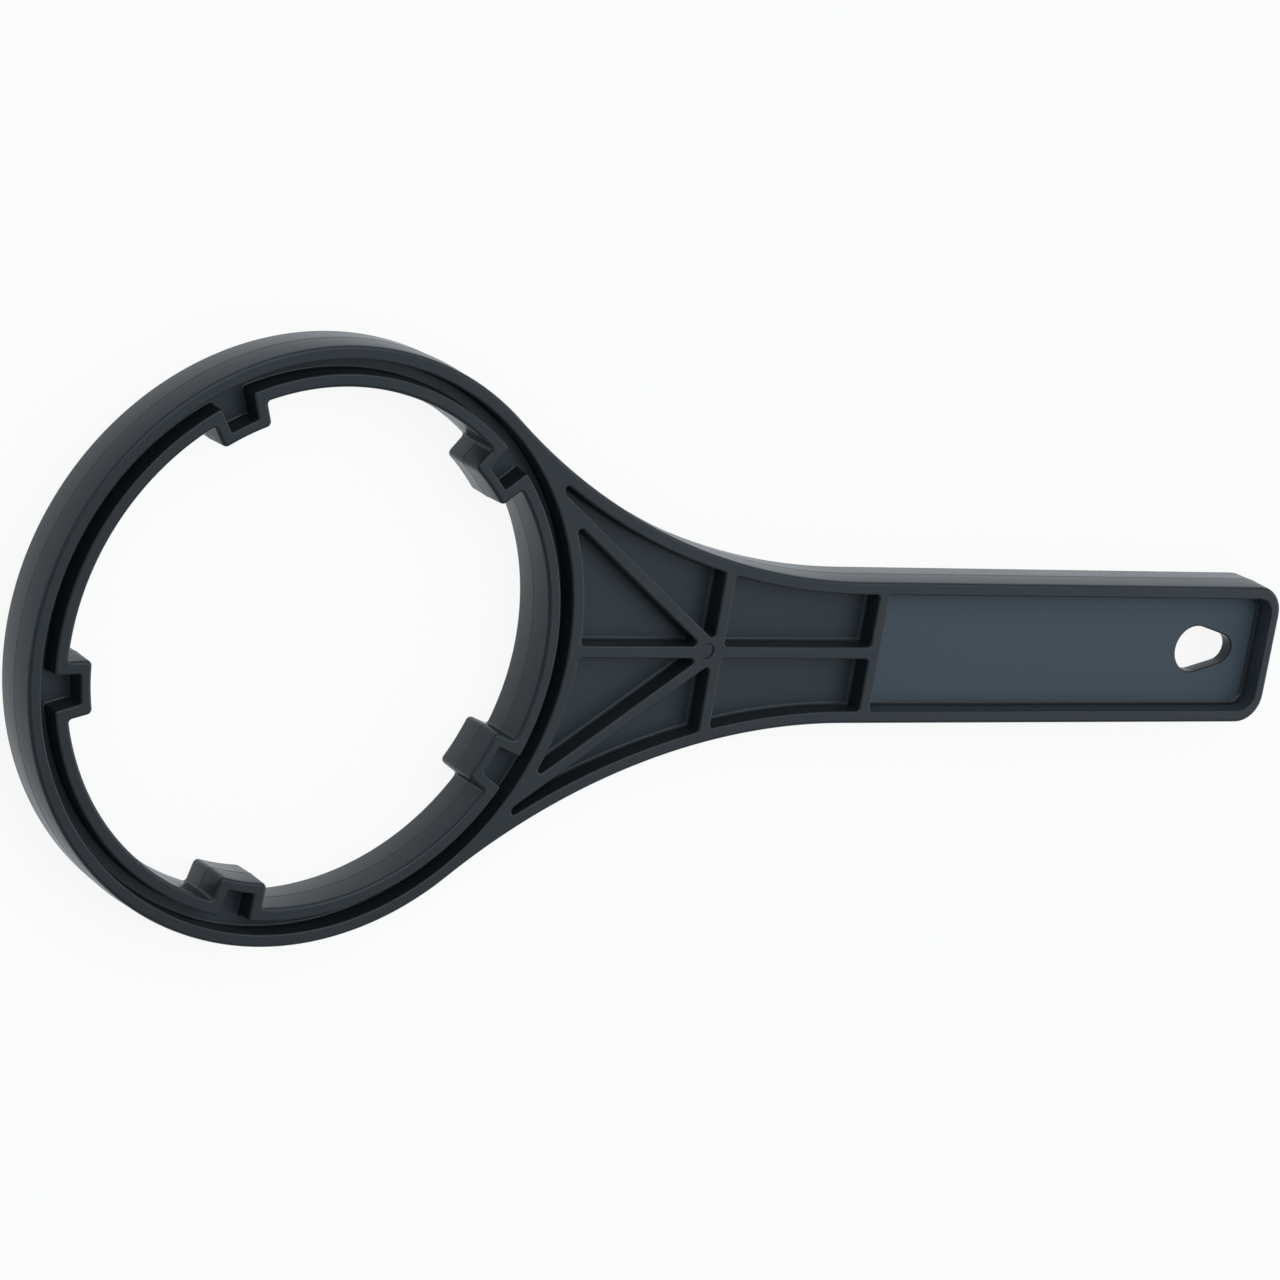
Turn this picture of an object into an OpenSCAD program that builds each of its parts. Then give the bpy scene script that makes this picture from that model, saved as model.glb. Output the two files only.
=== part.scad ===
// Wrench for a filter housing: a moulded ring with inward lugs, a ribbed neck and a flat handle.
// It lies on its back face. The ring's axis is the Z axis and the handle points along +X.
// Both faces are alike: rims, ribs and lug walls stand on a web at the middle of the thickness.

/* [Ring] */
// Outside diameter of the ring
ring_outside_diameter = 136.4; // [130:0.2:142]
// Inside diameter of the ring between the lugs
ring_inside_diameter = 117.4; // [108:0.2:119]

/* [Lugs] */
// Number of lugs round the ring
lug_count = 5; // [3:1:8]
// Angle of the first lug from the handle
lug_first_angle = 45; // [38:1:52]
// Diameter of the circle through the lug tips
lug_tip_diameter = 106.2; // [96:0.2:109]
// Angle that one lug covers, seen from the ring's axis
lug_angle = 12.9; // [10:0.1:20]
// Radius of a lug's corners at its tip
lug_corner_radius = 1.2; // [0.8:0.1:1.6]
// Radius of the fillet where a lug's sides run into the ring
lug_root_radius = 0.8; // [0.4:0.1:1.2]
// Radius of the corners inside a hollow lug
lug_pocket_radius = 0.5; // [0.3:0.1:0.8]

/* [Handle] */
// Distance from the ring's axis to the end of the handle
handle_reach = 266.7; // [240:0.1:300]
// Width of the handle
handle_width = 34.4; // [28:0.2:40]
// Radius of the corners at the handle's end
end_corner_radius = 7; // [3.6:0.1:9]

/* [Neck] */
// Radius of the flare from the ring to the handle
flare_radius = 157; // [140:1:170]
// Distance from the ring's axis to the hub where the ribs cross
hub_reach = 105; // [98:0.1:112]
// Angle between the diagonal ribs and the handle's axis
diagonal_angle = 36; // [30:1:42]
// Distance from the ring's axis to the cross rib before the handle
cross_rib_reach = 148.6; // [146:0.1:165]

/* [Walls] */
// Thickness of the wrench, from face to face
thickness = 13.4; // [11:0.2:18]
// Width of the outer rim
rim_width = 3.0; // [2.6:0.1:3.4]
// Width of the ribs at the faces
rib_width = 2.9; // [2:0.1:3.6]
// Width of the inner rim and of the lug walls
lug_wall = 3; // [2:0.1:3.2]
// Draft of the ribs, in degrees
draft_angle = 1.5; // [0.5:0.1:2.5]
// Radius of the ribs' edges at the faces
edge_radius = 0.5; // [0.2:0.1:0.8]
// Thickness of the web under the ring's groove and the neck's pockets
neck_web = 3.4; // [2:0.1:4]
// Thickness of the web under the handle's panel
panel_web = 3.6; // [2:0.1:6]
// Radius of the fillet at the foot of the ribs
foot_radius = 1.2; // [0.6:0.1:1.6]

/* [Hang hole] */
// Diameter of the hang hole's wide end
hole_wide_diameter = 11.4; // [8:0.1:14]
// Diameter of the hang hole's narrow end
hole_narrow_diameter = 7.4; // [4:0.1:8]
// Distance between the centres of the two ends
hole_length = 7.4; // [5:0.1:9]
// Distance from the centre of the wide end to the handle's end
hole_to_end = 20.3; // [18:0.1:40]

/* [Hidden] */
$fn = 128;
// Sizes that meet face to face are kept to whole microns
function micron(size) = round(size * 1000) / 1000;
half_height = thickness / 2;
// The webs reach this far into the rims
web_bite = 1.2;
// The foot fillets sink this far into the web, so that they cross it instead of only touching
foot_sink = 0.05;
// Arcs and sides that run into another line sink this far into it, for the same reason
side_bite = 0.01;
// The handle starts this far before the end of the flare
handle_lead = 3;
// A lug's corners and root fillets take at most this share of its depth
lug_arc_share = 0.45;
// Flats that make up each moulded edge and foot fillet
edge_steps = 3;
// Flats that make up each corner of the outline
corner_steps = 6;

outer_radius = ring_outside_diameter / 2;
hole_radius = ring_inside_diameter / 2;
tip_radius = lug_tip_diameter / 2;
lug_pitch = 360 / lug_count;
half_width = handle_width / 2;
flare_y = micron(half_width - side_bite + flare_radius);
flare_x = micron(sqrt(pow(outer_radius + flare_radius, 2) - flare_y * flare_y));
// Height of the border's centre line above the handle's axis, at this place along the neck
function border_y(x) = flare_y - sqrt(pow(flare_radius + rim_width / 2, 2) - pow(flare_x - x, 2));
// Length of a diagonal rib from the hub to the middle of the ring's rim
diagonal_length = hub_reach * cos(diagonal_angle)
    - sqrt(pow(outer_radius - rim_width / 2, 2) - pow(hub_reach * sin(diagonal_angle), 2));

// Points along an arc, from one angle to another
function arc_points(centre, radius, from, to, steps) =
    [for (step = [0:steps]) [
        micron(centre[0] + radius * cos(from + (to - from) * step / steps)),
        micron(centre[1] + radius * sin(from + (to - from) * step / steps))
    ]];

// Place of a rib's flank at this height above the parting line
function flank_x(width, height) = micron(width / 2 + (half_height - height) * tan(draft_angle));

// One side of a rib above the parting line, from the parting line up to the middle of its face
function wall_side(width, web) = concat(
    web > 0
        ? concat(
            [[flank_x(width, web / 2) + foot_radius, 0]],
            arc_points(
                [flank_x(width, web / 2 + foot_radius) + foot_radius, web / 2 + foot_radius - foot_sink],
                foot_radius, 270, 180, edge_steps
            )
        )
        : [[flank_x(width, 0), 0]],
    arc_points(
        [flank_x(width, half_height - edge_radius) - edge_radius, half_height - edge_radius],
        edge_radius, 0, 90, edge_steps
    )
);

function mirrored(points, across, up) = [for (p = points) [across * p[0], up * p[1]]];
function backwards(points) = [for (i = [len(points) - 1:-1:0]) points[i]];

// Whole rib section about its centre line, with a foot fillet on each side
module wall_section(width, left_web = 0, right_web = 0) {
    left = wall_side(width, left_web);
    right = wall_side(width, right_web);
    polygon(concat(
        right,
        backwards(mirrored(left, -1, 1)),
        mirrored(left, -1, -1),
        backwards(mirrored(right, 1, -1))
    ));
}

// Rib along +X from the origin, with its right side towards -Y
module straight_wall(length, width, left_web = 0, right_web = 0) {
    rotate([90, 0, 90])
        linear_extrude(length)
            wall_section(width, right_web, left_web);
}

// Point this far along the side of a lug's sector and this far out from it
function from_lug_side(along, out) = [
    along * cos(lug_angle / 2) - out * sin(lug_angle / 2),
    along * sin(lug_angle / 2) + out * cos(lug_angle / 2)
];

// Centre of an arc that keeps this distance from the ring's axis and this far out from the lug's side
function lug_arc_centre(distance, out) = from_lug_side(sqrt(distance * distance - out * out), out);

function direction(point) = atan2(point[1], point[0]);

function within_lug(radius) = min(radius, lug_arc_share * (hole_radius - tip_radius));

// Upper side of a lug from the ring to its tip, this far inside the lug's own wall
function lug_side(inset) =
    let (root_radius = within_lug(inset > 0 ? lug_pocket_radius : lug_root_radius))
    let (tip_corner = within_lug(inset > 0 ? lug_pocket_radius : lug_corner_radius))
    let (root_distance = hole_radius + inset - root_radius + side_bite)
    let (root = lug_arc_centre(root_distance, root_radius - inset - side_bite))
    let (tip = lug_arc_centre(tip_radius + inset + tip_corner - side_bite, -inset - tip_corner))
    concat(
        [2 * outer_radius / norm(root) * root],
        arc_points(root, root_radius, direction(root), lug_angle / 2 - 90, corner_steps),
        arc_points(tip, tip_corner, lug_angle / 2 + 90, direction(tip) + 180, corner_steps)
    );

// Opening of the ring, made smaller by the lugs, and grown by this much all round
module ring_opening(growth) {
    side = lug_side(growth);
    difference() {
        circle(r = hole_radius + growth, $fn = 360);
        for (lug = [0:lug_count - 1])
            rotate([0, 0, lug_first_angle + lug * lug_pitch])
                difference() {
                    polygon(concat(side, backwards(mirrored(side, 1, -1))));
                    circle(r = tip_radius + growth, $fn = 360);
                }
    }
}

// Area of the neck between the ring's axis and the handle, this far inside its flared outline
module neck_area(inset) {
    for (side = [0, 1])
        mirror([0, side])
            difference() {
                polygon([[0, 0], [flare_x, flare_y], [flare_x, 0]]);
                translate([flare_x, flare_y])
                    circle(r = flare_radius + inset, $fn = 360);
            }
}

// Area of the handle, this far inside its outline
module handle_area(inset) {
    reach = handle_reach - inset;
    width = half_width - inset;
    radius = max(end_corner_radius - inset, 1);
    polygon(concat(
        [[flare_x - handle_lead, width], [flare_x - handle_lead, -width]],
        arc_points([reach - radius, -width + radius], radius, 270, 360, corner_steps),
        arc_points([reach - radius, width - radius], radius, 0, 90, corner_steps)
    ));
}

// Outer rim round the ring, the neck and the handle
module rim_area() {
    difference() {
        union() {
            circle(r = outer_radius, $fn = 360);
            neck_area(side_bite);
            handle_area(0);
        }
        circle(r = outer_radius - rim_width, $fn = 360);
        difference() {
            neck_area(rim_width);
            circle(r = outer_radius, $fn = 360);
        }
        handle_area(rim_width);
    }
}

module slab(height) {
    translate([0, 0, -height / 2])
        linear_extrude(height)
            children();
}

module ring() {
    slab(thickness)
        difference() {
            ring_opening(lug_wall);
            ring_opening(0);
        }
    slab(neck_web)
        difference() {
            circle(r = outer_radius - web_bite, $fn = 360);
            ring_opening(web_bite);
        }
}

module neck_ribs() {
    translate([outer_radius - rim_width / 2, 0])
        straight_wall(cross_rib_reach - outer_radius + rim_width / 2, rib_width, neck_web, neck_web);
    for (side = [0, 1])
        mirror([0, side]) {
            translate([hub_reach, 0])
                rotate([0, 0, 90])
                    straight_wall(border_y(hub_reach), rib_width, neck_web, neck_web);
            translate([hub_reach, 0])
                rotate([0, 0, 180 - diagonal_angle])
                    straight_wall(diagonal_length, rib_width, neck_web, neck_web);
        }
    translate([cross_rib_reach, web_bite - half_width])
        rotate([0, 0, 90])
            straight_wall(2 * (half_width - web_bite), rib_width, neck_web, panel_web);
}

module neck_web_area() {
    difference() {
        neck_area(web_bite);
        circle(r = outer_radius - web_bite, $fn = 360);
    }
    translate([flare_x - handle_lead, web_bite - half_width])
        square([cross_rib_reach - flare_x + handle_lead, 2 * (half_width - web_bite)]);
}

module panel_web_area() {
    translate([cross_rib_reach, web_bite - half_width])
        square([handle_reach - web_bite - cross_rib_reach, 2 * (half_width - web_bite)]);
}

// Fillet along +X at the foot of a rim on its right side
module foot_fillet(length) {
    centre = foot_radius - foot_sink;
    rotate([90, 0, 90])
        linear_extrude(length)
            polygon(concat(
                [[-foot_sink, -foot_sink]],
                arc_points([centre, centre], foot_radius, 270, 180, edge_steps)
            ));
}

// Fillets round the handle's panel on one face, at the foot of the rims
module panel_fillets() {
    panel_end = handle_reach - rim_width;
    panel_side = half_width - rim_width;
    for (side = [0, 1])
        mirror([0, side])
            translate([cross_rib_reach, -panel_side, panel_web / 2])
                foot_fillet(panel_end + web_bite - cross_rib_reach);
    translate([panel_end, -panel_side - web_bite, panel_web / 2])
        rotate([0, 0, 90])
            foot_fillet(2 * (panel_side + web_bite));
}

module hang_hole() {
    lean = asin((hole_wide_diameter - hole_narrow_diameter) / 2 / hole_length);
    wide = (hole_wide_diameter / 2 - side_bite) * [sin(lean), cos(lean)];
    narrow = (hole_narrow_diameter / 2 - side_bite) * [sin(lean), cos(lean)] + [hole_length, 0];
    circle(d = hole_wide_diameter);
    translate([hole_length, 0])
        circle(d = hole_narrow_diameter);
    polygon([wide, narrow, [narrow[0], -narrow[1]], [wide[0], -wide[1]]]);
}

module wrench() {
    color("#2b3034")
        translate([0, 0, half_height])
            difference() {
                union() {
                    ring();
                    slab(thickness)
                        rim_area();
                    neck_ribs();
                    slab(neck_web)
                        neck_web_area();
                    slab(panel_web)
                        panel_web_area();
                    for (face = [0, 1])
                        mirror([0, 0, face])
                            panel_fillets();
                }
                translate([handle_reach - hole_to_end, 0, -thickness])
                    linear_extrude(2 * thickness)
                        hang_hole();
            }
}

wrench();
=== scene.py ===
import math

import bmesh
import bpy
import numpy as np
from mathutils import Euler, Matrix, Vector
from mathutils.geometry import tessellate_polygon


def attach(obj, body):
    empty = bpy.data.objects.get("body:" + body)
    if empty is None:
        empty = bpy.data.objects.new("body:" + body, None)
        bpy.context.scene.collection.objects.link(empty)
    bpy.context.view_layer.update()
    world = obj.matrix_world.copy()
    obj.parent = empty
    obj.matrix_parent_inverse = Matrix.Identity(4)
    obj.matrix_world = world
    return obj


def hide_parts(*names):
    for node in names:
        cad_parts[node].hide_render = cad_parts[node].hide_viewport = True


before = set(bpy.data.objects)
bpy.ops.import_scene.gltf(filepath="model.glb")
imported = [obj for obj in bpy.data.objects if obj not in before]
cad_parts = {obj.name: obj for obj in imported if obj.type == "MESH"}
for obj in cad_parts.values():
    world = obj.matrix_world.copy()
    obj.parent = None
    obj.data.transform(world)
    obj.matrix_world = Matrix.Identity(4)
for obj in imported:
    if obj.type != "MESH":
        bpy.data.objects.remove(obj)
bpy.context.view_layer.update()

# The ring of the wrench, with hollow lugs that grip the ribs of a filter housing's bowl.
# It is moulded in two mould halves, so its walls lean from the parting line at half thickness
# to each face, their edges are rounded, and a groove with a thin web runs between the two rims.
mm = 0.001
half_height = 6.7 * mm
draft = math.tan(math.radians(1.5))
wall_edge_radius = 0.7 * mm
pocket_edge_radius = 0.4 * mm
edge_steps = 4
corner_steps = 5
wall_support = 0.08 * mm
seam_width = 0.13 * mm
seam_height = 0.05 * mm
neck_floor = 1.7 * mm

outer_radius = 68.03 * mm
hole_radius = 58.85 * mm
lug_count = 5
lug_first_angle = math.radians(45)
lug_half_angle = math.radians(6.4)
lug_tip_radius = 53.25 * mm
lug_root_fillet = 0.8 * mm
lug_corner_radius = 1.2 * mm
lug_side_wall = 2.9 * mm
lug_tip_wall = 2.5 * mm
groove_inner_radius = 61.9 * mm
groove_outer_radius = 65.0 * mm
groove_root_radius = 0.5 * mm
groove_corner_radius = 0.5 * mm
groove_foot_radius = 0.45 * mm
# Floors are duller, and take a fifth of the panel's grey with its painted sheen.
floor_texture = 0.2
tip_steps = 4
side_steps = 3
base_steps = 16
pitch_steps = 48
same_point = 1e-8
weld_gap = 1e-6
lug_pitch = 2 * math.pi / lug_count


def lean(height):
    """How far a drafted wall stands out from its face line, at this height over the parting line."""
    return (half_height - height) * draft


quarter_turn = [math.pi / 2 * step / edge_steps for step in range(edge_steps + 1)]


def rounded_edge(top, edge_radius):
    """Rounded edge from the flat at this height down to a wall: (reach into the flat, height)."""
    return [
        (edge_radius * (1 - math.sin(turn)), top - edge_radius * (1 - math.cos(turn)))
        for turn in quarter_turn
    ]


def edge_levels(edge_radius):
    """Rounded edge of a wall at the face, and the line under it where the drafted wall begins."""
    support = half_height - edge_radius - wall_support
    return rounded_edge(half_height, edge_radius) + [(-lean(support), support)]


def side_levels():
    """Outer wall from the face to the parting line, where the mould leaves a fine seam."""
    return edge_levels(wall_edge_radius) + [
        (-lean(seam_width), seam_width),
        (-lean(0) - seam_height, 0.0),
    ]


def pocket_levels(floor, foot_radius):
    """Pocket wall from the face down to a floor at this height, with a fillet at its foot."""
    start = floor + foot_radius
    support = start + wall_support
    fillet = [
        (-lean(start) - foot_radius * (1 - math.cos(turn)), start - foot_radius * math.sin(turn))
        for turn in quarter_turn
    ]
    return edge_levels(pocket_edge_radius) + [(-lean(support), support)] + fillet


def arc(centre, radius, start, end, steps):
    """Points along an arc, from one angle to another."""
    turns = np.linspace(start, end, steps + 1)
    return np.column_stack([centre[0] + radius * np.cos(turns), centre[1] + radius * np.sin(turns)])


def between(start, end, steps):
    """Points along a straight line."""
    share = np.linspace(0, 1, steps + 1)[:, None]
    return (1 - share) * np.asarray(start) + share * np.asarray(end)


def lug_line(base, side, tip, root_radius, corner_radius, growth):
    """Line round one pitch of the ring, in and out over its lug, moved outwards by growth."""
    along = np.array([math.cos(lug_half_angle), math.sin(lug_half_angle)])
    across = np.array([-math.sin(lug_half_angle), math.cos(lug_half_angle)])
    root_across = side + root_radius
    root = along * math.sqrt((base - root_radius) ** 2 - root_across**2) + across * root_across
    corner_across = side - corner_radius
    corner = along * math.sqrt((tip + corner_radius) ** 2 - corner_across**2) + across * corner_across
    if corner_radius > growth:
        facing = math.atan2(corner[1], corner[0])
        corner_arc = arc(corner, corner_radius - growth, facing + math.pi,
                         lug_half_angle + math.pi / 2, corner_steps)
    else:
        reach = math.sqrt((tip + growth) ** 2 - (side - growth) ** 2)
        corner_arc = np.repeat([along * reach + across * (side - growth)], corner_steps + 1, axis=0)
    root_facing = math.atan2(root[1], root[0])
    root_arc = arc(root, root_radius + growth, lug_half_angle - math.pi / 2, root_facing, corner_steps)
    tip_turn = math.atan2(corner_arc[0][1], corner_arc[0][0])
    base_turn = math.atan2(root_arc[-1][1], root_arc[-1][0])
    half = np.vstack([
        arc((0, 0), tip + growth, 0, tip_turn, tip_steps)[:-1],
        corner_arc,
        between(corner_arc[-1], root_arc[0], side_steps)[1:-1],
        root_arc,
        arc((0, 0), base + growth, base_turn, lug_pitch / 2, base_steps)[1:],
    ])
    return np.vstack([half[:0:-1] * [1, -1], half])


def raised(line, height):
    """Points of a line in the plan, at this height."""
    return np.column_stack([line, np.full(len(line), height)])


def add_strip(bm, rows, closed=True, smooth=True):
    """Quads between rows of points, from one row to the next."""
    made = [[bm.verts.new(point) for point in row] for row in rows]
    count = len(rows[0])
    strips = []
    for upper, lower in zip(made, made[1:]):
        strips.append([])
        for i in range(count if closed else count - 1):
            j = (i + 1) % count
            strips[-1].append(bm.faces.new((upper[i], upper[j], lower[j], lower[i])))
            strips[-1][-1].smooth = smooth
    return strips


def add_flat(bm, lines, height):
    """Flat area at one height, inside the first line and outside the others."""
    loops = [[Vector((*point, 0)) for point in line] for line in lines]
    made = [bm.verts.new((point.x, point.y, height)) for loop in loops for point in loop]
    return [bm.faces.new([made[i] for i in triangle]) for triangle in tessellate_polygon(loops)]


hole = (hole_radius, 0, lug_tip_radius, lug_root_fillet, lug_corner_radius)
groove = (groove_inner_radius, -lug_side_wall, lug_tip_radius + lug_tip_wall,
          groove_root_radius, groove_corner_radius)
groove_levels = pocket_levels(neck_floor, groove_foot_radius)


def groove_circle(reach):
    """The groove's outer border along one pitch of the ring, moved outwards by reach."""
    return arc((0, 0), groove_outer_radius + reach, -lug_pitch / 2, lug_pitch / 2, pitch_steps)


pitch = bmesh.new()
pitch_texture = pitch.faces.layers.float.new("texture_and_painted_sheen")
hole_wall = [raised(lug_line(*hole, reach), height) for reach, height in side_levels()]
rim_face = [raised(lug_line(*hole, wall_edge_radius), half_height),
            raised(lug_line(*groove, -pocket_edge_radius), half_height)]
groove_inner_wall = [raised(lug_line(*groove, -reach), height) for reach, height in groove_levels]
groove_outer_wall = [raised(groove_circle(reach), height) for reach, height in groove_levels]
add_strip(pitch, hole_wall, closed=False)
add_strip(pitch, rim_face, closed=False, smooth=False)
add_strip(pitch, groove_inner_wall, closed=False)
add_strip(pitch, groove_outer_wall, closed=False)
floor_reach = groove_levels[-1][0]
floor_line = np.vstack([lug_line(*groove, -floor_reach), groove_circle(floor_reach)[::-1]])
for face in add_flat(pitch, [floor_line], neck_floor):
    face[pitch_texture] = floor_texture
pitch_mesh = bpy.data.meshes.new("ring_pitch")
bmesh.ops.remove_doubles(pitch, verts=pitch.verts, dist=weld_gap)
pitch.to_mesh(pitch_mesh)
pitch.free()

ring_tree = bpy.data.node_groups.new("lugs_round_the_ring", "GeometryNodeTree")
ring_tree.interface.new_socket("Pitch", in_out="INPUT", socket_type="NodeSocketGeometry")
lugs_socket = ring_tree.interface.new_socket("Lugs", in_out="INPUT", socket_type="NodeSocketInt")
first_socket = ring_tree.interface.new_socket("First angle", in_out="INPUT", socket_type="NodeSocketFloat")
weld_socket = ring_tree.interface.new_socket("Weld distance", in_out="INPUT", socket_type="NodeSocketFloat")
plastic_socket = ring_tree.interface.new_socket("Plastic", in_out="INPUT", socket_type="NodeSocketMaterial")
ring_tree.interface.new_socket("Ring", in_out="OUTPUT", socket_type="NodeSocketGeometry")
ring_in = ring_tree.nodes.new("NodeGroupInput")
ring_out = ring_tree.nodes.new("NodeGroupOutput")
places = ring_tree.nodes.new("GeometryNodePoints")
number = ring_tree.nodes.new("GeometryNodeInputIndex")
pitch_turn = ring_tree.nodes.new("ShaderNodeMath")
pitch_turn.operation = "DIVIDE"
pitch_turn.inputs[0].default_value = 2 * math.pi
turn = ring_tree.nodes.new("ShaderNodeMath")
turn.operation = "MULTIPLY_ADD"
about_axis = ring_tree.nodes.new("ShaderNodeCombineXYZ")
rotation = ring_tree.nodes.new("FunctionNodeEulerToRotation")
copies = ring_tree.nodes.new("GeometryNodeInstanceOnPoints")
realize = ring_tree.nodes.new("GeometryNodeRealizeInstances")
weld = ring_tree.nodes.new("GeometryNodeMergeByDistance")
paint = ring_tree.nodes.new("GeometryNodeSetMaterial")
link = ring_tree.links.new
link(ring_in.outputs["Lugs"], places.inputs["Count"])
link(ring_in.outputs["Lugs"], pitch_turn.inputs[1])
link(number.outputs["Index"], turn.inputs[0])
link(pitch_turn.outputs["Value"], turn.inputs[1])
link(ring_in.outputs["First angle"], turn.inputs[2])
link(turn.outputs["Value"], about_axis.inputs["Z"])
link(about_axis.outputs["Vector"], rotation.inputs["Euler"])
link(places.outputs["Points"], copies.inputs["Points"])
link(ring_in.outputs["Pitch"], copies.inputs["Instance"])
link(rotation.outputs["Rotation"], copies.inputs["Rotation"])
link(copies.outputs["Instances"], realize.inputs["Geometry"])
link(realize.outputs["Geometry"], weld.inputs["Geometry"])
link(ring_in.outputs["Weld distance"], weld.inputs["Distance"])
link(weld.outputs["Geometry"], paint.inputs["Geometry"])
link(ring_in.outputs["Plastic"], paint.inputs["Material"])
link(paint.outputs["Geometry"], ring_out.inputs["Ring"])

# Charcoal plastic with a satin skin from the polished mould. Slow cloudy changes in gloss come from
# the flow of the melt, and a very fine grain breaks up the reflections. The floors of the groove and
# the pockets are duller. The handle's panel has a matt texture, and its lighter blue-grey colour is
# partly that texture and partly a painted sheen. Its walls are lightened by a painted reflection of
# the panel floor, and the floors take a little of the same grey.
darker_charcoal = (0.0132, 0.0166, 0.0194, 1)
lighter_charcoal = (0.0168, 0.0206, 0.0240, 1)
# Lighter blue-grey of the panel: partly its matt texture, partly a painted sheen.
panel_grey_and_painted_sheen = (0.047, 0.064, 0.083, 1)
glossier_skin = 0.22
duller_skin = 0.32
matt_skin = 0.55
fully_matt_from = 0.3
clouds_per_metre = 38.0
grains_per_metre = 2600.0
grain_height = 0.1 * mm
plastic = bpy.data.materials.new("charcoal_plastic")
plastic.use_nodes = True
nodes = plastic.node_tree.nodes
skin = nodes["Principled BSDF"]
skin.inputs["Specular IOR Level"].default_value = 0.36
skin.inputs["IOR"].default_value = 1.49
skin.inputs["Specular Tint"].default_value = (0.86, 0.94, 1.0, 1)
link = plastic.node_tree.links.new
place = nodes.new("ShaderNodeTexCoord")
flow = nodes.new("ShaderNodeTexNoise")
flow.inputs["Scale"].default_value = clouds_per_metre
flow.inputs["Detail"].default_value = 4.0
flow.inputs["Roughness"].default_value = 0.55
grain = nodes.new("ShaderNodeTexNoise")
grain.inputs["Scale"].default_value = grains_per_metre
grain.inputs["Detail"].default_value = 2.0
# Each face's share of the panel's matt texture and of its grey with the painted sheen.
texture_and_sheen_share = nodes.new("ShaderNodeAttribute")
texture_and_sheen_share.attribute_name = "texture_and_painted_sheen"
cloud = nodes.new("ShaderNodeValToRGB")
cloud.color_ramp.elements[0].position = 0.30
cloud.color_ramp.elements[0].color = darker_charcoal
cloud.color_ramp.elements[1].position = 0.72
cloud.color_ramp.elements[1].color = lighter_charcoal
# Mixes in the panel's grey, with its painted sheen, by each face's share.
panel_tone = nodes.new("ShaderNodeMix")
panel_tone.data_type = "RGBA"
panel_tone.inputs["B"].default_value = panel_grey_and_painted_sheen
gloss = nodes.new("ShaderNodeMapRange")
gloss.inputs["To Min"].default_value = glossier_skin
gloss.inputs["To Max"].default_value = duller_skin
matt_share = nodes.new("ShaderNodeMapRange")
matt_share.inputs["From Max"].default_value = fully_matt_from
panel_gloss = nodes.new("ShaderNodeMix")
panel_gloss.data_type = "FLOAT"
panel_gloss.inputs["B"].default_value = matt_skin
grain_bump = nodes.new("ShaderNodeBump")
grain_bump.inputs["Strength"].default_value = 0.05
grain_bump.inputs["Distance"].default_value = grain_height
link(place.outputs["Object"], flow.inputs["Vector"])
link(place.outputs["Object"], grain.inputs["Vector"])
link(flow.outputs["Fac"], cloud.inputs["Fac"])
link(texture_and_sheen_share.outputs["Fac"], panel_tone.inputs["Factor"])
link(cloud.outputs["Color"], panel_tone.inputs["A"])
link(panel_tone.outputs["Result"], skin.inputs["Base Color"])
link(flow.outputs["Fac"], gloss.inputs["Value"])
link(texture_and_sheen_share.outputs["Fac"], matt_share.inputs["Value"])
link(matt_share.outputs["Result"], panel_gloss.inputs["Factor"])
link(gloss.outputs["Result"], panel_gloss.inputs["A"])
link(panel_gloss.outputs["Result"], skin.inputs["Roughness"])
link(grain.outputs["Fac"], grain_bump.inputs["Height"])
link(grain_bump.outputs["Normal"], skin.inputs["Normal"])

ring_object = bpy.data.objects.new("ring_half", pitch_mesh)
bpy.context.scene.collection.objects.link(ring_object)
repeat = ring_object.modifiers.new("lugs", "NODES")
repeat.node_group = ring_tree
repeat[lugs_socket.identifier] = lug_count
repeat[first_socket.identifier] = lug_first_angle
repeat[weld_socket.identifier] = weld_gap
repeat[plastic_socket.identifier] = plastic
evaluated_ring = ring_object.evaluated_get(bpy.context.evaluated_depsgraph_get())
ring_half = bpy.data.meshes.new_from_object(evaluated_ring)
ring_object.modifiers.remove(repeat)
bpy.data.objects.remove(ring_object)

# The flared neck and the flat handle, moulded in one with the ring. Ribs cross at a hub and part the
# neck into six pockets, and the handle has a sunk panel with a teardrop hole to hang the wrench by.
# An ejector pin has left a shallow round mark beside the hub.
handle_half_width = 17.03 * mm
handle_reach = 266.5 * mm
end_corner_radius = 6.9 * mm
flare_radius = 157.15 * mm
rim_width = 3.05 * mm
rib_half_width = 1.48 * mm
ring_land_radius = 68.1 * mm
hub = 105.0 * mm
cross_rib = 148.6 * mm
diagonal_angle = math.radians(36)
pocket_corner_radius = 0.8 * mm
pocket_foot_radius = 0.7 * mm
panel_floor = 1.8 * mm
panel_start = 150.1 * mm
panel_foot_radius = 1.0 * mm
panel_far_corner_radius = 3.9 * mm
end_rim_width = 2.75 * mm
panel_near_corner_radius = 0.6 * mm
# The panel floor takes the full matt texture and the panel's grey with its painted sheen.
panel_texture_and_painted_sheen = 1.0
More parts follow.
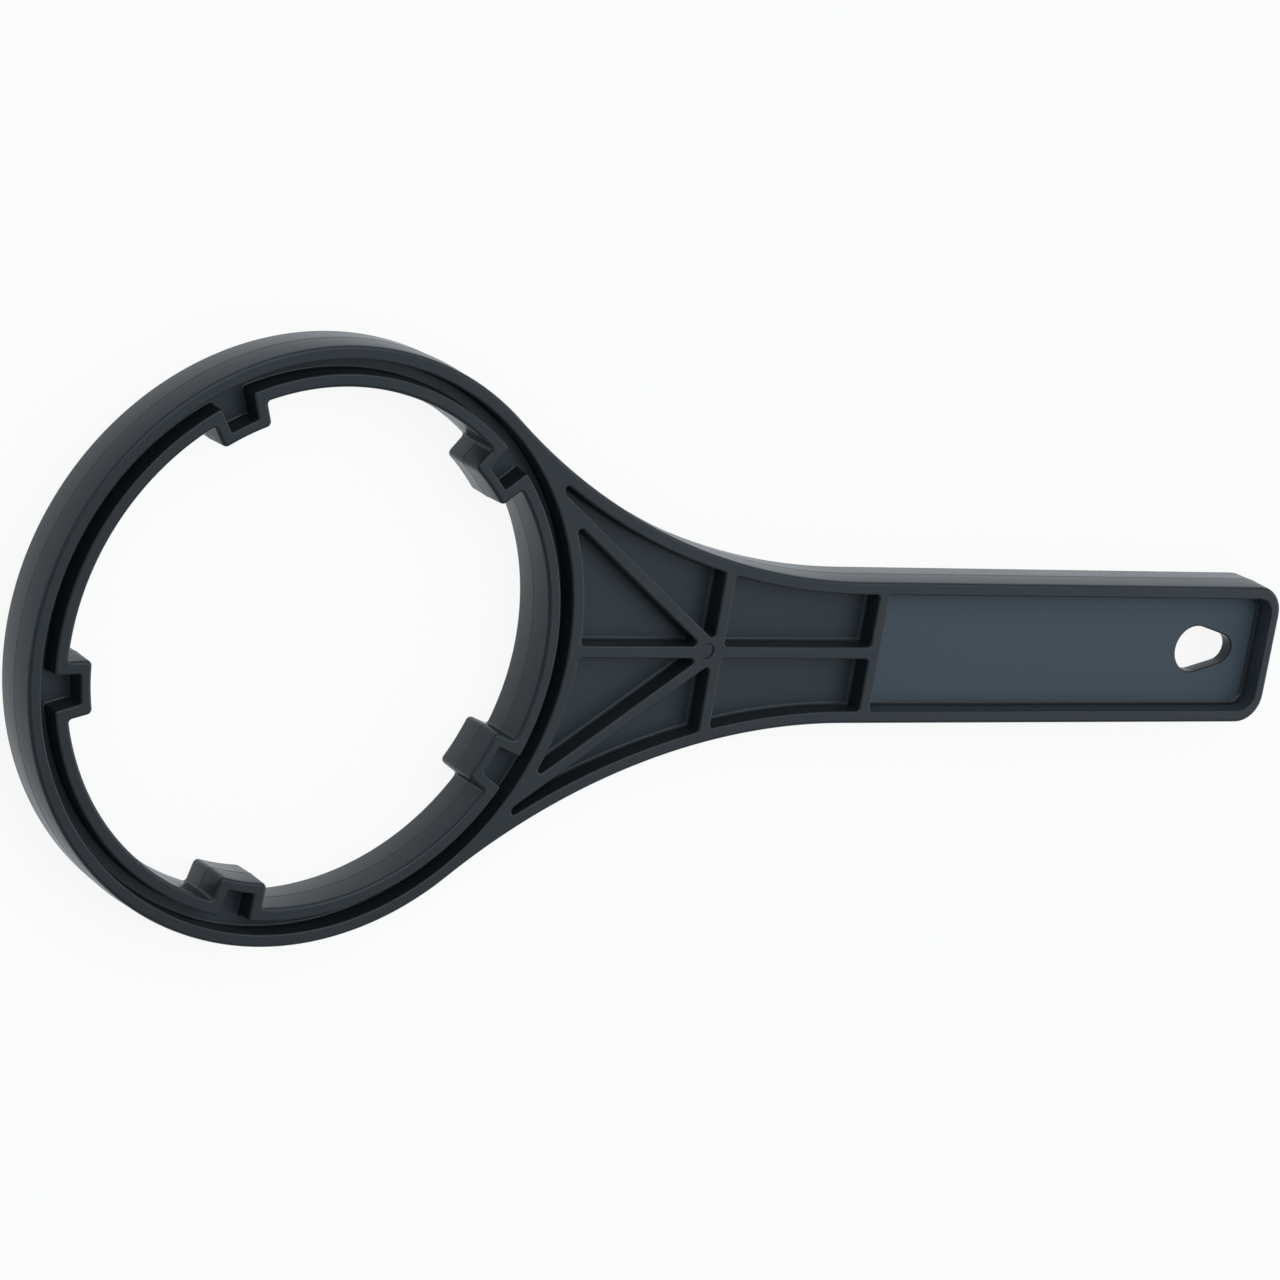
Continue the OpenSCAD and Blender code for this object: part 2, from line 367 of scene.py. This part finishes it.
# The panel's walls take most of the panel's grey: a painted reflection of the bright panel floor, and
# duller gloss.
panel_wall_painted_reflection = 0.6
hang_hole = (246.4 * mm, 0)
hang_hole_tip = (253.8 * mm, 0)
hang_hole_radius = 5.7 * mm
hang_hole_tip_radius = 3.7 * mm
hang_hole_edge = 0.35 * mm
mark_centre = (102.0 * mm, 0.4 * mm)
mark_radius = 1.85 * mm
mark_depth = 0.4 * mm
mark_edge = (0.12 * mm, 0.1 * mm)
mark_edge_drop = 0.1 * mm
end_corner_steps = 8
handle_side_steps = 24
flare_steps = 48
half_ring_steps = 100
straight_border_steps = 10
curved_border_steps = 20
wide_end_steps = 32
narrow_end_steps = 16
mark_steps = 32

flare_y = handle_half_width + flare_radius
flare_x = math.sqrt((outer_radius + flare_radius) ** 2 - flare_y**2)
flare_angle = math.atan2(flare_y, flare_x)


def outline(reach):
    """Outline of the whole wrench, this far inside its edge at the face."""
    width = handle_half_width - reach
    end = handle_reach - reach
    corner = end_corner_radius - reach
    upper = np.vstack([
        arc((end - corner, width - corner), corner, 0, math.pi / 2, end_corner_steps),
        between((end - corner, width), (flare_x, width), handle_side_steps)[1:-1],
        arc((flare_x, flare_y), flare_radius + reach, 1.5 * math.pi, math.pi + flare_angle, flare_steps),
        arc((0, 0), outer_radius - reach, flare_angle, math.pi, half_ring_steps)[1:],
    ])
    return np.vstack([upper, upper[-2::-1] * [1, -1]])


def crossing(first, second):
    """Point where two borders meet, the one nearer to the hub. A border is a straight line or a circle."""
    if first[0] == "line" and second[0] == "line":
        (_, p, d), (_, q, e) = first, second
        return p + d * np.linalg.solve(np.column_stack([d, -e]), q - p)[0]
    if first[0] == "circle" and second[0] == "circle":
        (_, c, r), (_, k, s) = first, second
        apart = np.linalg.norm(k - c)
        ahead = (k - c) / apart
        along = (apart**2 + r**2 - s**2) / (2 * apart)
        out = math.sqrt(r**2 - along**2)
        found = [c + ahead * along + side * out * np.array([-ahead[1], ahead[0]]) for side in (1, -1)]
    else:
        (_, p, d), (_, c, r) = (first, second) if first[0] == "line" else (second, first)
        near = np.dot(c - p, d)
        out = math.sqrt(r**2 - np.sum((p + near * d - c) ** 2))
        found = [p + (near + side * out) * d for side in (1, -1)]
    return min(found, key=lambda point: np.linalg.norm(point - hub_point))


def moved_border(border, inset):
    """A border moved into its pocket: straight ones to their left, circles by their own side."""
    if border[0] == "line":
        kind, point, direction = border
        return kind, point + inset * np.array([-direction[1], direction[0]]), direction
    kind, centre, radius, side = border
    return kind, np.asarray(centre), radius - side * inset


def pocket_line(borders, inset):
    """Closed line inside a pocket, this far from its borders, with rounded corners."""
    corners = []
    for i, (border, radius) in enumerate(borders):
        following = borders[(i + 1) % len(borders)][0]
        if radius > inset:
            centre = crossing(moved_border(border, radius), moved_border(following, radius))
            ends = []
            for edge in (border, following):
                kind, place, size = moved_border(edge, inset)
                if kind == "line":
                    ends.append(place + size * np.dot(centre - place, size))
                else:
                    away = centre - place
                    ends.append(place + away / np.linalg.norm(away) * size)
            start = math.atan2(*(ends[0] - centre)[::-1])
            sweep = (math.atan2(*(ends[1] - centre)[::-1]) - start + math.pi) % (2 * math.pi) - math.pi
            corners.append(arc(centre, radius - inset, start, start + sweep, corner_steps))
        else:
            sharp = crossing(moved_border(border, inset), moved_border(following, inset))
            corners.append(np.repeat([sharp], corner_steps + 1, axis=0))
    line = []
    for i, (border, _) in enumerate(borders):
        start, end = corners[i - 1][-1], corners[i][0]
        edge = moved_border(border, inset)
        if edge[0] == "line":
            line.append(between(start, end, straight_border_steps)[1:-1])
        else:
            turn = math.atan2(*(start - edge[1])[::-1])
            sweep = math.atan2(*(end - edge[1])[::-1]) - turn
            sweep = (sweep + math.pi) % (2 * math.pi) - math.pi
            line.append(arc(edge[1], edge[2], turn, turn + sweep, curved_border_steps)[1:-1])
        line.append(corners[i])
    return np.vstack(line)


east, north, west, south = (np.array(d, float) for d in ((1, 0), (0, 1), (-1, 0), (0, -1)))
slope = np.array([-math.cos(diagonal_angle), math.sin(diagonal_angle)])
slope_side = np.array([math.sin(diagonal_angle), math.cos(diagonal_angle)])
hub_point = np.array([hub, 0])
middle_rib = ("line", np.array([0, rib_half_width]), east)
ring_border = ("circle", (0, 0), ring_land_radius, -1)
flare_border = ("circle", (flare_x, flare_y), flare_radius + rim_width, -1)
diagonal_below = ("line", hub_point - rib_half_width * slope_side, slope)
diagonal_above = ("line", hub_point + rib_half_width * slope_side, -slope)
hub_rib_left = ("line", np.array([hub - rib_half_width, 0]), north)
hub_rib_right = ("line", np.array([hub + rib_half_width, 0]), south)
cross_rib_left = ("line", np.array([cross_rib - rib_half_width, 0]), north)
neck_pockets = [
    [(border, pocket_corner_radius) for border in borders]
    for borders in (
        (middle_rib, diagonal_below, ring_border),
        (diagonal_above, hub_rib_left, flare_border, ring_border),
        (middle_rib, cross_rib_left, flare_border, hub_rib_right),
    )
]
panel_half_width = handle_half_width - rim_width
panel_end = handle_reach - end_rim_width
panel_borders = [
    (("line", np.array([0, -panel_half_width]), east), panel_far_corner_radius),
    (("line", np.array([panel_end, 0]), north), panel_far_corner_radius),
    (("line", np.array([0, panel_half_width]), west), panel_near_corner_radius),
    (("line", np.array([panel_start, 0]), south), panel_near_corner_radius),
]


def hang_hole_line(growth):
    """Outline of the teardrop hole, grown by this much."""
    slant = math.acos((hang_hole_radius - hang_hole_tip_radius) / (hang_hole_tip[0] - hang_hole[0]))
    wide = arc(hang_hole, hang_hole_radius + growth, slant, 2 * math.pi - slant, wide_end_steps)
    narrow = arc(hang_hole_tip, hang_hole_tip_radius + growth, -slant, slant, narrow_end_steps)
    return np.vstack([wide, narrow])


def unique(line):
    """The line without points that fell together in its sharp corners."""
    keep = np.linalg.norm(line - np.roll(line, 1, axis=0), axis=1) > same_point
    return line[keep]


def add_pocket(bm, line_at, floor, foot_radius):
    """Sides of a pocket: its wall faces, the fillet's faces, and the line where the floor begins."""
    levels = pocket_levels(floor, foot_radius)
    strips = add_strip(bm, [raised(line_at(-reach), height) for reach, height in levels])
    wall = sum(strips[edge_steps:-edge_steps], [])
    return wall, sum(strips[-edge_steps:], []), unique(line_at(-levels[-1][0]))


def mould_half(marked):
    """Upper half of the neck, the handle and the ring's outer rim, over the parting line."""
    bm = bmesh.new()
    texture_and_painted_sheen = bm.faces.layers.float.new("texture_and_painted_sheen")
    groove_edge = []
    for lug in range(lug_count):
        turn = lug_first_angle + lug_pitch * lug
        turned = np.array([[math.cos(turn), math.sin(turn)], [-math.sin(turn), math.cos(turn)]])
        groove_edge.append(groove_circle(pocket_edge_radius)[:-1] @ turned)
    face_lines = [outline(wall_edge_radius), np.vstack(groove_edge)]
    add_strip(bm, [raised(outline(reach), height) for reach, height in side_levels()])
    for borders in neck_pockets:
        for side in (1, -1):
            def line_at(inset, borders=borders, side=side):
                return pocket_line(borders, inset) * [1, side]
            _, fillet, foot = add_pocket(bm, line_at, neck_floor, pocket_foot_radius)
            for face in fillet + add_flat(bm, [foot], neck_floor):
                face[texture_and_painted_sheen] = floor_texture
            face_lines.append(line_at(-pocket_edge_radius))

    def panel_at(inset):
        return pocket_line(panel_borders, inset)
    panel_wall, _, panel_foot = add_pocket(bm, panel_at, panel_floor, panel_foot_radius)
    # Painted reflection: the panel's walls are made lighter and duller, as if they mirrored the bright
    # panel floor.
    for face in panel_wall:
        face[texture_and_painted_sheen] = panel_wall_painted_reflection
    face_lines.append(panel_at(-pocket_edge_radius))
    # The panel floor is matt, and its lighter grey holds a painted sheen.
    for face in add_flat(bm, [panel_foot, hang_hole_line(hang_hole_edge)], panel_floor):
        face[texture_and_painted_sheen] = panel_texture_and_painted_sheen
    hole_levels = rounded_edge(panel_floor, hang_hole_edge) + [(0.0, 0.0)]
    add_strip(bm, [raised(hang_hole_line(growth), height) for growth, height in hole_levels])
    if marked:
        outer_edge, inner_edge = mark_edge
        marks = [arc(mark_centre, radius, 0, 2 * math.pi, mark_steps)[:-1]
                 for radius in (mark_radius + outer_edge, mark_radius, mark_radius - inner_edge)]
        depths = (0, mark_edge_drop, mark_depth)
        add_strip(bm, [raised(line, half_height - depth) for line, depth in zip(marks, depths)])
        add_flat(bm, [marks[-1]], half_height - mark_depth)
        face_lines.append(marks[0])
    add_flat(bm, face_lines, half_height)
    return bm


wrench_mesh = bpy.data.meshes.new("wrench_moulding")
whole = bmesh.new()
whole.faces.layers.float.new("texture_and_painted_sheen")
for marked, facing in ((True, 1), (False, -1)):
    half_mesh = bpy.data.meshes.new("mould_half")
    half = mould_half(marked)
    half.from_mesh(ring_half)
    for vert in half.verts:
        vert.co.z = half_height + facing * vert.co.z
    half.to_mesh(half_mesh)
    half.free()
    whole.from_mesh(half_mesh)
    bpy.data.meshes.remove(half_mesh)
bmesh.ops.remove_doubles(whole, verts=whole.verts, dist=weld_gap)
bmesh.ops.dissolve_degenerate(whole, edges=whole.edges, dist=weld_gap / 10)
bmesh.ops.recalc_face_normals(whole, faces=whole.faces)
# The seam at the parting line keeps its sharp edges.
for edge in whole.edges:
    heights = [abs(vert.co.z - half_height) for vert in edge.verts]
    if max(heights) <= seam_width + weld_gap and abs(heights[0] - heights[1]) < weld_gap:
        edge.smooth = False
whole.to_mesh(wrench_mesh)
whole.free()
wrench_mesh.materials.clear()
wrench_mesh.materials.append(plastic)
wrench = bpy.data.objects.new("wrench_moulding", wrench_mesh)
bpy.context.scene.collection.objects.link(wrench)
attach(wrench, "root")
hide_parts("wrench")

# A white sheet of matt paper for the wrench to lie on, large enough to fill the view from any side.
# It looks nearly white to the camera and in the plastic, and keeps a soft shadow under the wrench.
sheet_half = 4.0
sheet_drop = 0.1 * mm
sheet_mesh = bpy.data.meshes.new("white_sheet")
sheet_mesh.from_pydata(
    [(x * sheet_half, y * sheet_half, -sheet_drop) for x, y in ((-1, -1), (1, -1), (1, 1), (-1, 1))],
    [], [(0, 1, 2, 3)],
)
sheet = bpy.data.objects.new("white_sheet", sheet_mesh)
bpy.context.scene.collection.objects.link(sheet)
paper_white = (0.87, 0.90, 0.94, 1)
mirrored_white = (0.90, 0.955, 1.0, 1)
seen_whiteness = 0.9
mirrored_whiteness = 0.76
paper = bpy.data.materials.new("white_paper")
paper.use_nodes = True
nodes = paper.node_tree.nodes
matt_paper = nodes["Principled BSDF"]
matt_paper.inputs["Base Color"].default_value = paper_white
matt_paper.inputs["Roughness"].default_value = 0.9
matt_paper.inputs["Specular IOR Level"].default_value = 0.1
paper_place = nodes.new("ShaderNodeTexCoord")
fibre = nodes.new("ShaderNodeTexNoise")
fibre.inputs["Scale"].default_value = 900.0
fibre_bump = nodes.new("ShaderNodeBump")
fibre_bump.inputs["Strength"].default_value = 0.03
fibre_bump.inputs["Distance"].default_value = 0.2 * mm
rays = nodes.new("ShaderNodeLightPath")
mirrored_rays = nodes.new("ShaderNodeMath")
mirrored_rays.operation = "MAXIMUM"
mirrored_share = nodes.new("ShaderNodeMath")
mirrored_share.operation = "MULTIPLY"
mirrored_share.inputs[1].default_value = mirrored_whiteness
seen_share = nodes.new("ShaderNodeMath")
seen_share.operation = "MULTIPLY"
seen_share.inputs[1].default_value = seen_whiteness
white_share = nodes.new("ShaderNodeMath")
white_share.operation = "MAXIMUM"
white_tone = nodes.new("ShaderNodeMix")
white_tone.data_type = "RGBA"
white_tone.inputs["A"].default_value = mirrored_white
white_tone.inputs["B"].default_value = (1, 1, 1, 1)
white = nodes.new("ShaderNodeEmission")
white.inputs["Strength"].default_value = 1.0
lit_paper = nodes.new("ShaderNodeMixShader")
link = paper.node_tree.links.new
link(paper_place.outputs["Object"], fibre.inputs["Vector"])
link(fibre.outputs["Fac"], fibre_bump.inputs["Height"])
link(fibre_bump.outputs["Normal"], matt_paper.inputs["Normal"])
link(rays.outputs["Is Camera Ray"], seen_share.inputs[0])
link(rays.outputs["Is Camera Ray"], white_tone.inputs["Factor"])
link(rays.outputs["Is Glossy Ray"], mirrored_rays.inputs[0])
link(rays.outputs["Is Transmission Ray"], mirrored_rays.inputs[1])
link(mirrored_rays.outputs["Value"], mirrored_share.inputs[0])
link(seen_share.outputs["Value"], white_share.inputs[0])
link(mirrored_share.outputs["Value"], white_share.inputs[1])
link(white_tone.outputs["Result"], white.inputs["Color"])
link(white_share.outputs["Value"], lit_paper.inputs["Fac"])
link(matt_paper.outputs["BSDF"], lit_paper.inputs[1])
link(white.outputs["Emission"], lit_paper.inputs[2])
link(lit_paper.outputs["Shader"], nodes["Material Output"].inputs["Surface"])
sheet_mesh.materials.append(paper)

# Studio light: a dim room, a little blue, with a white horizon and a pale screen beyond the handle's
# end, whose glow lies on the faces of the wrench. On the left of the handle, seen from the ring,
# the ceiling is pale and a wide softbox hangs high over the sheet.
room_tone = (0.91, 0.955, 1.0, 1)
screen_towards = (0.75, 0, -0.66)
screen_borders = ((0.28, 0.2), (0.38, 1.0), (0.55, 1.0), (0.82, 0.12))
softbox_place = Vector((0.5, 1.2, 2.0))
softbox_aim = Vector((0.1, 0, 0))
softbox_width = 2.4
softbox_power = 16
room = bpy.data.worlds.new("studio")
room.use_nodes = True
room_nodes = room.node_tree.nodes
room_light = room_nodes["Background"]
room_light.inputs["Color"].default_value = room_tone
direction = room_nodes.new("ShaderNodeTexCoord")
parts = room_nodes.new("ShaderNodeSeparateXYZ")
towards_screen = room_nodes.new("ShaderNodeVectorMath")
towards_screen.operation = "DOT_PRODUCT"
towards_screen.inputs[1].default_value = screen_towards
screen_glow = room_nodes.new("ShaderNodeMapRange")
screen_glow.inputs["From Min"].default_value = -0.60
screen_glow.inputs["From Max"].default_value = 0.10
screen_glow.inputs["To Min"].default_value = 0.42
screen_glow.inputs["To Max"].default_value = 1.6
sideways = room_nodes.new("ShaderNodeMapRange")
sideways.inputs["From Min"].default_value = -1.0
screen_edges = room_nodes.new("ShaderNodeValToRGB")
ramp = screen_edges.color_ramp.elements
ramp.remove(ramp[1])
ramp[0].position = screen_borders[0][0]
for position, _ in screen_borders[1:]:
    ramp.new(position)
for stop, (_, level) in zip(ramp, screen_borders):
    stop.color = (level, level, level, 1)
screen = room_nodes.new("ShaderNodeMath")
screen.operation = "MULTIPLY"
horizon = room_nodes.new("ShaderNodeMapRange")
horizon.inputs["From Min"].default_value = 0.05
horizon.inputs["From Max"].default_value = 0.22
horizon.inputs["To Min"].default_value = 0.95
horizon.inputs["To Max"].default_value = 0.32
ceiling_height = room_nodes.new("ShaderNodeMapRange")
ceiling_height.inputs["From Min"].default_value = 0.45
ceiling_height.inputs["From Max"].default_value = 0.70
ceiling_side = room_nodes.new("ShaderNodeMapRange")
ceiling_side.inputs["From Min"].default_value = -0.12
ceiling_side.inputs["From Max"].default_value = 0.20
ceiling_side.inputs["To Max"].default_value = 1.05
ceiling = room_nodes.new("ShaderNodeMath")
ceiling.operation = "MULTIPLY"
low_light = room_nodes.new("ShaderNodeMath")
low_light.operation = "MAXIMUM"
brightest = room_nodes.new("ShaderNodeMath")
brightest.operation = "MAXIMUM"
link = room.node_tree.links.new
link(direction.outputs["Generated"], towards_screen.inputs[0])
link(direction.outputs["Generated"], parts.inputs["Vector"])
link(towards_screen.outputs["Value"], screen_glow.inputs["Value"])
link(parts.outputs["Y"], sideways.inputs["Value"])
link(sideways.outputs["Result"], screen_edges.inputs["Fac"])
link(screen_glow.outputs["Result"], screen.inputs[0])
link(screen_edges.outputs["Color"], screen.inputs[1])
link(parts.outputs["Z"], horizon.inputs["Value"])
link(parts.outputs["Z"], ceiling_height.inputs["Value"])
link(parts.outputs["Y"], ceiling_side.inputs["Value"])
link(ceiling_height.outputs["Result"], ceiling.inputs[0])
link(ceiling_side.outputs["Result"], ceiling.inputs[1])
link(screen.outputs["Value"], low_light.inputs[0])
link(horizon.outputs["Result"], low_light.inputs[1])
link(low_light.outputs["Value"], brightest.inputs[0])
link(ceiling.outputs["Value"], brightest.inputs[1])
link(brightest.outputs["Value"], room_light.inputs["Strength"])
bpy.context.scene.world = room

softbox_light = bpy.data.lights.new("key_softbox", "AREA")
softbox_light.shape = "SQUARE"
softbox_light.size = softbox_width
softbox_light.energy = softbox_power
softbox = bpy.data.objects.new("key_softbox", softbox_light)
softbox.location = softbox_place
softbox.rotation_euler = (softbox_aim - softbox_place).to_track_quat("-Z", "Y").to_euler()
bpy.context.scene.collection.objects.link(softbox)

# The camera stands where the photograph was taken from, high over the ring's side of the wrench,
# and looks down along the handle through a long lens.
camera_data = bpy.data.cameras.new("camera")
camera_data.sensor_fit = "HORIZONTAL"
camera_data.sensor_width = 36
camera_data.lens = 156.51
camera_data.clip_start = 0.05
camera_data.clip_end = 50
camera = bpy.data.objects.new("camera", camera_data)
camera.location = (-0.59777, 0.30837, 1.01133)
camera.rotation_euler = Euler((math.radians(-20.2684), math.radians(-31.3926), math.radians(11.1811)))
bpy.context.scene.collection.objects.link(camera)
bpy.context.scene.camera = camera
bpy.context.scene.view_settings.view_transform = "Standard"
